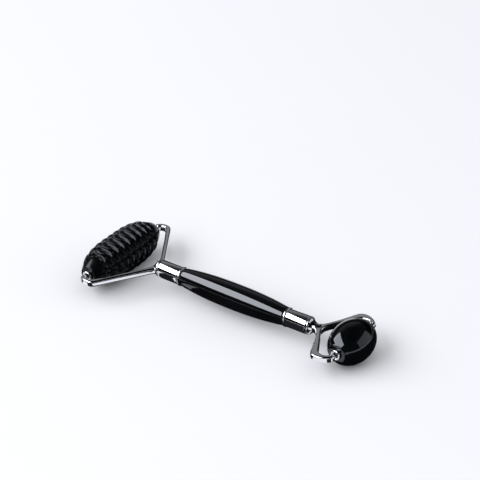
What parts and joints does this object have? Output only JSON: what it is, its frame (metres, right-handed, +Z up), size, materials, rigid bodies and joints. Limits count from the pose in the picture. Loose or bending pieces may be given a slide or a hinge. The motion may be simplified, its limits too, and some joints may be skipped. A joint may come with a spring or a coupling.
{
  "type": "face roller",
  "caption": "Double-ended stone face roller: long ridged stone and short smooth stone, each spinning in a chrome fork on a slim black spindle handle.",
  "frame": {"origin": "centre of the bounding box in X and Y, at the surface that the tool lies on with both stones touching it", "axes": "+X along the handle from the large ridged head to the small smooth head, Y along both roller axes, +Z up"},
  "size_m": [0.161, 0.065, 0.021],
  "materials": {
    "grip_black": "gloss black lacquer",
    "chrome_plate": "polished plating",
    "stone_ridged": "opaque black stone, satin, ridged",
    "stone_smooth": "opaque black stone, high polish",
    "steel": "ground",
    "nylon": "black"
  },
  "bodies": {
    "handle": {"grip": "grip_black", "tie_rod": "steel", "trim_ring_large": "chrome_plate", "trim_ring_small": "chrome_plate", "ferrule_large": "chrome_plate", "ferrule_small": "chrome_plate", "yoke_large": "chrome_plate", "yoke_small": "chrome_plate", "large_back_pin": "steel", "large_front_pin": "steel", "small_back_pin": "steel", "small_front_pin": "steel"},
    "large_roller": {"large_stone": "stone_ridged", "large_back_cap": "chrome_plate", "large_back_bush": "nylon", "large_front_cap": "chrome_plate", "large_front_bush": "nylon"},
    "small_roller": {"small_stone": "stone_smooth", "small_back_cap": "chrome_plate", "small_back_bush": "nylon", "small_front_cap": "chrome_plate", "small_front_bush": "nylon"}
  },
  "joints": [
    {"name": "large_roller_spin", "type": "hinge", "parent": "handle", "child": "large_roller", "pos_m": [-0.07, 0, 0.0105], "axis": [0, 1, 0], "continuous": true},
    {"name": "small_roller_spin", "type": "hinge", "parent": "handle", "child": "small_roller", "pos_m": [0.07, 0, 0.0105], "axis": [0, 1, 0], "continuous": true}
  ]
}
